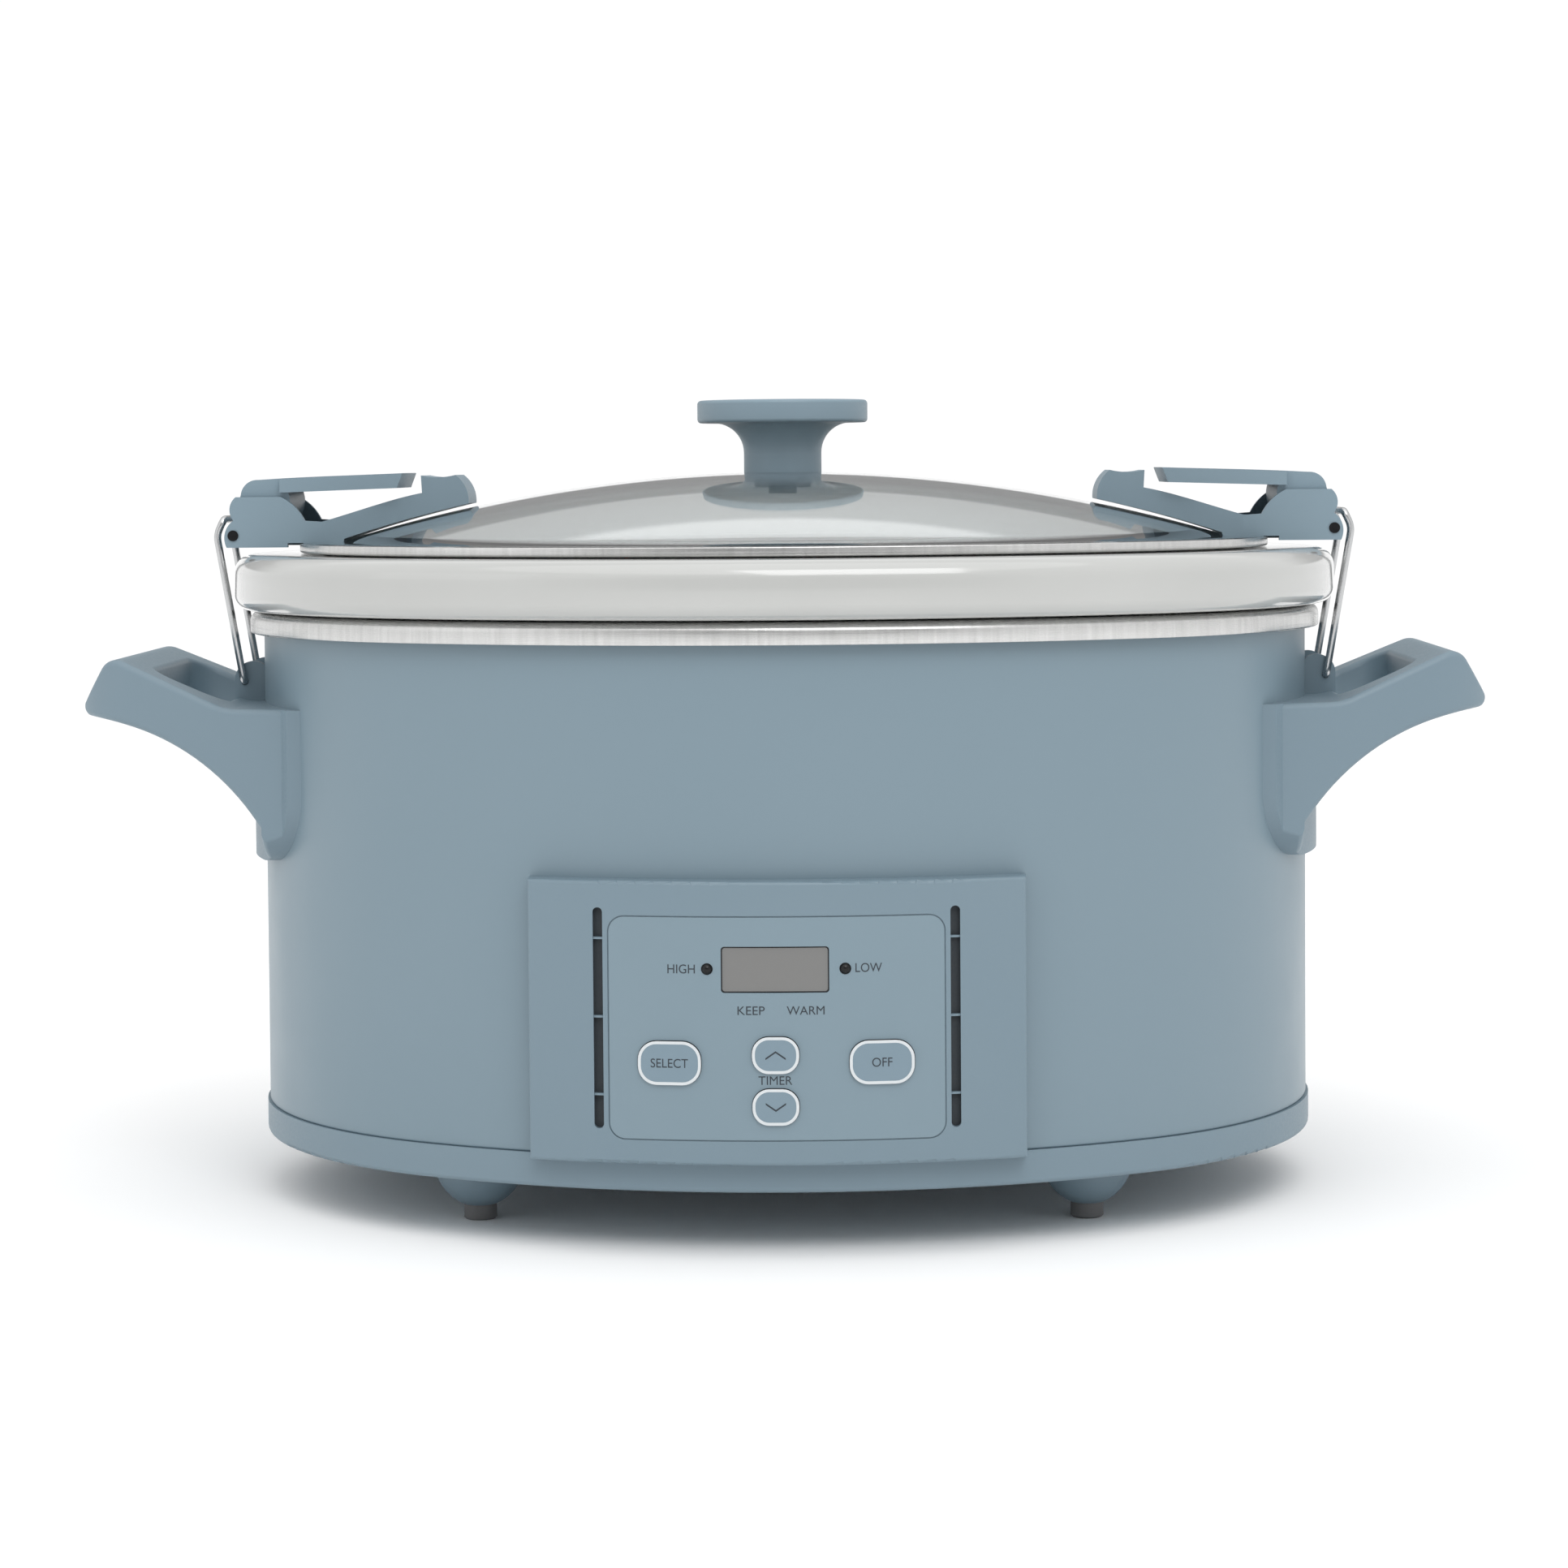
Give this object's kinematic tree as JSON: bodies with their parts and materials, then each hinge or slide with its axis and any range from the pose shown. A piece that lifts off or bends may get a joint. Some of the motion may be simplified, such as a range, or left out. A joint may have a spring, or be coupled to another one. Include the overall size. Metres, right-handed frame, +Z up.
{
  "type": "slow cooker",
  "caption": "Oval programmable slow cooker: painted base with loop handles and key panel, lift-out stoneware pot, and a glass lid held by wire bails and over-centre latches.",
  "frame": {"origin": "on the table under the middle of the oval body", "axes": "+X to the right as the user faces the panel, through both handles; +Y away from the user; +Z up"},
  "size_m": [0.4368, 0.275, 0.2485],
  "materials": {
    "body_paint": "satin blue-grey enamel",
    "body_plastic": "satin blue-grey moulding",
    "overlay_film": "matt printed film",
    "button_rubber": "matt key rubber",
    "foot_rubber": "matt black rubber",
    "trim_steel": "brushed",
    "wire_steel": "bright drawn wire",
    "fastener_steel": "zinc plated",
    "well_aluminium": "spun, dull",
    "heater_steel": "heat-dulled",
    "crock_glaze": "glossy off-white glaze",
    "lid_glass": "clear tempered glass",
    "seal_silicone": "translucent grey silicone",
    "window_glass": "clear pane",
    "display_lcd": "unlit grey display",
    "led_lens": "unlit dark lens",
    "circuit_board": "solder-masked laminate",
    "component_black": "moulded component",
    "lead_insulation": "glass-braid sleeve",
    "gland_black": "black nylon",
    "screen_dark": "black mesh"
  },
  "bodies": {
    "base": {"base_pan": "body_plastic", "feet": "foot_rubber", "foot_screws": "fastener_steel", "outer_shell": "body_paint", "top_collar": "trim_steel", "heating_well": "well_aluminium", "heater_band": "heater_steel", "heater_clip": "fastener_steel", "centre_bolt": "fastener_steel", "centre_nut": "fastener_steel", "temperature_sensor": "heater_steel", "thermal_fuse": "component_black", "power_board": "circuit_board", "power_board_parts": "component_black", "power_board_screws": "fastener_steel", "terminal_block": "component_black", "supply_leads": "lead_insulation", "cord_gland": "gland_black", "control_bezel": "body_plastic", "panel_overlay": "overlay_film", "display_window": "window_glass", "display_module": "display_lcd", "led_lenses": "led_lens", "vent_screens": "screen_dark", "control_board": "circuit_board", "board_screws": "fastener_steel", "bezel_screws": "fastener_steel", "tact_switches": "component_black", "left_handle": "body_plastic", "left_handle_screws": "fastener_steel", "right_handle": "body_plastic", "right_handle_screws": "fastener_steel"},
    "crock": {"crock": "crock_glaze"},
    "lid": {"lid_glass": "lid_glass", "lid_rim": "trim_steel", "lid_gasket": "seal_silicone", "knob": "body_plastic", "knob_washer": "seal_silicone", "knob_screw": "fastener_steel", "left_latch_frame": "body_plastic", "left_latch_pins": "component_black", "left_latch_screws": "fastener_steel", "right_latch_frame": "body_plastic", "right_latch_pins": "component_black", "right_latch_screws": "fastener_steel"},
    "left_bail": {"left_bail": "wire_steel"},
    "left_lever": {"left_latch_lever": "body_plastic"},
    "right_bail": {"right_bail": "wire_steel"},
    "right_lever": {"right_latch_lever": "body_plastic"},
    "select_key": {"select_button": "button_rubber"},
    "off_key": {"off_button": "button_rubber"},
    "up_key": {"up_button": "button_rubber"},
    "down_key": {"down_button": "button_rubber"}
  },
  "joints": [
    {"name": "crock_lift", "type": "slide", "parent": "base", "child": "crock", "axis": [0, 0, 1], "range_m": [0, 0.17]},
    {"name": "lid_lift", "type": "slide", "parent": "crock", "child": "lid", "axis": [0, 0, 1], "range_m": [0, 0.08]},
    {"name": "left_bail_swing", "type": "hinge", "parent": "base", "child": "left_bail", "pos_m": [-0.1715, 0, 0.1604], "axis": [0, -1, 0], "range_deg": [0, 60]},
    {"name": "left_lever_lift", "type": "hinge", "parent": "lid", "child": "left_lever", "pos_m": [-0.1643, 0, 0.2145], "axis": [0, -1, 0], "range_deg": [0, 80]},
    {"name": "right_bail_swing", "type": "hinge", "parent": "base", "child": "right_bail", "pos_m": [0.1715, 0, 0.1604], "axis": [0, 1, 0], "range_deg": [0, 60]},
    {"name": "right_lever_lift", "type": "hinge", "parent": "lid", "child": "right_lever", "pos_m": [0.1643, 0, 0.2145], "axis": [0, 1, 0], "range_deg": [0, 80]},
    {"name": "select_press", "type": "slide", "parent": "base", "child": "select_key", "axis": [0, 1, 0], "range_m": [0, 0.0005], "stiffness_N_per_m": 1500},
    {"name": "off_press", "type": "slide", "parent": "base", "child": "off_key", "axis": [0, 1, 0], "range_m": [0, 0.0005], "stiffness_N_per_m": 1500},
    {"name": "up_press", "type": "slide", "parent": "base", "child": "up_key", "axis": [0, 1, 0], "range_m": [0, 0.0005], "stiffness_N_per_m": 1500},
    {"name": "down_press", "type": "slide", "parent": "base", "child": "down_key", "axis": [0, 1, 0], "range_m": [0, 0.0005], "stiffness_N_per_m": 1500}
  ]
}
